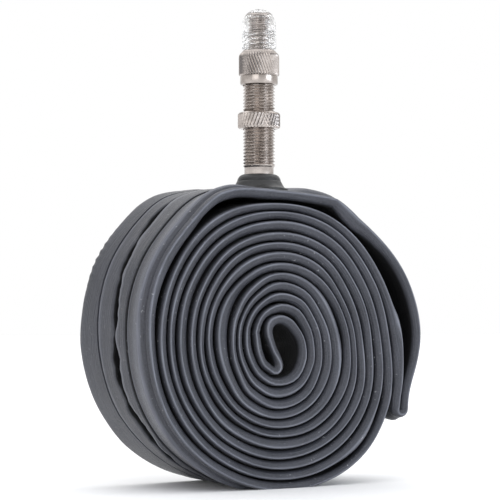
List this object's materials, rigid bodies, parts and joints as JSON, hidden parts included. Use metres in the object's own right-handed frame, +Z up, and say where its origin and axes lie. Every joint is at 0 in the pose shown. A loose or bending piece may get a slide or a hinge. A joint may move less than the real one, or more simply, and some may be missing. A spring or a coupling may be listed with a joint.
{
  "type": "bicycle inner tube",
  "caption": "Rolled-up butyl bicycle inner tube, wound flat into a spiral, with a threaded plug-in-insert valve, knurled nuts and a clear dust cap.",
  "frame": {"origin": "middle of the flat patch under the roll that it stands on", "axes": "+Z up along the valve, Y along the roll's axis with the front end at -Y, +X to the side where the tube's outer fold sticks out"},
  "size_m": [0.0769, 0.0322, 0.114],
  "materials": {
    "butyl_rubber": "satin, faintly ribbed, dusted with talc",
    "base_rubber": "matte moulded",
    "nickel_plate": "bright nickel plate on turned brass",
    "bare_brass": "turned",
    "seal_rubber": "matte",
    "clear_plastic": "clear, moulded"
  },
  "bodies": {
    "tube_and_stem": {"tube": "butyl_rubber", "valve_base": "base_rubber", "valve_stem": "nickel_plate"},
    "rim_nut": {"rim_nut": "nickel_plate"},
    "insert": {"insert_body": "nickel_plate", "insert_seal": "seal_rubber", "plunger_retainer": "bare_brass"},
    "union_nut": {"union_nut": "nickel_plate"},
    "plunger": {"check_plunger": "bare_brass", "plunger_seal": "seal_rubber"},
    "dust_cap": {"dust_cap": "clear_plastic"}
  },
  "joints": [
    {"name": "rim_nut_travel", "type": "slide", "parent": "tube_and_stem", "child": "rim_nut", "axis": [0, 0, 1], "range_m": [-0.0088, 0.006]},
    {"name": "insert_lift", "type": "slide", "parent": "tube_and_stem", "child": "insert", "axis": [0, 0, 1], "range_m": [0, 0.00556]},
    {"name": "union_nut_turn", "type": "hinge", "parent": "insert", "child": "union_nut", "pos_m": [0, -0.0072, 0.1003], "axis": [0, 0, 1], "range_deg": [0, 2520]},
    {"name": "plunger_close", "type": "slide", "parent": "insert", "child": "plunger", "axis": [0, 0, 1], "range_m": [0, 0.001]},
    {"name": "dust_cap_lift", "type": "slide", "parent": "insert", "child": "dust_cap", "axis": [0, 0, 1], "range_m": [0, 0.014]}
  ],
  "couplings": [
    {"joint": "union_nut_turn", "follows": "insert_lift", "rad_per_m": 7913.3}
  ]
}
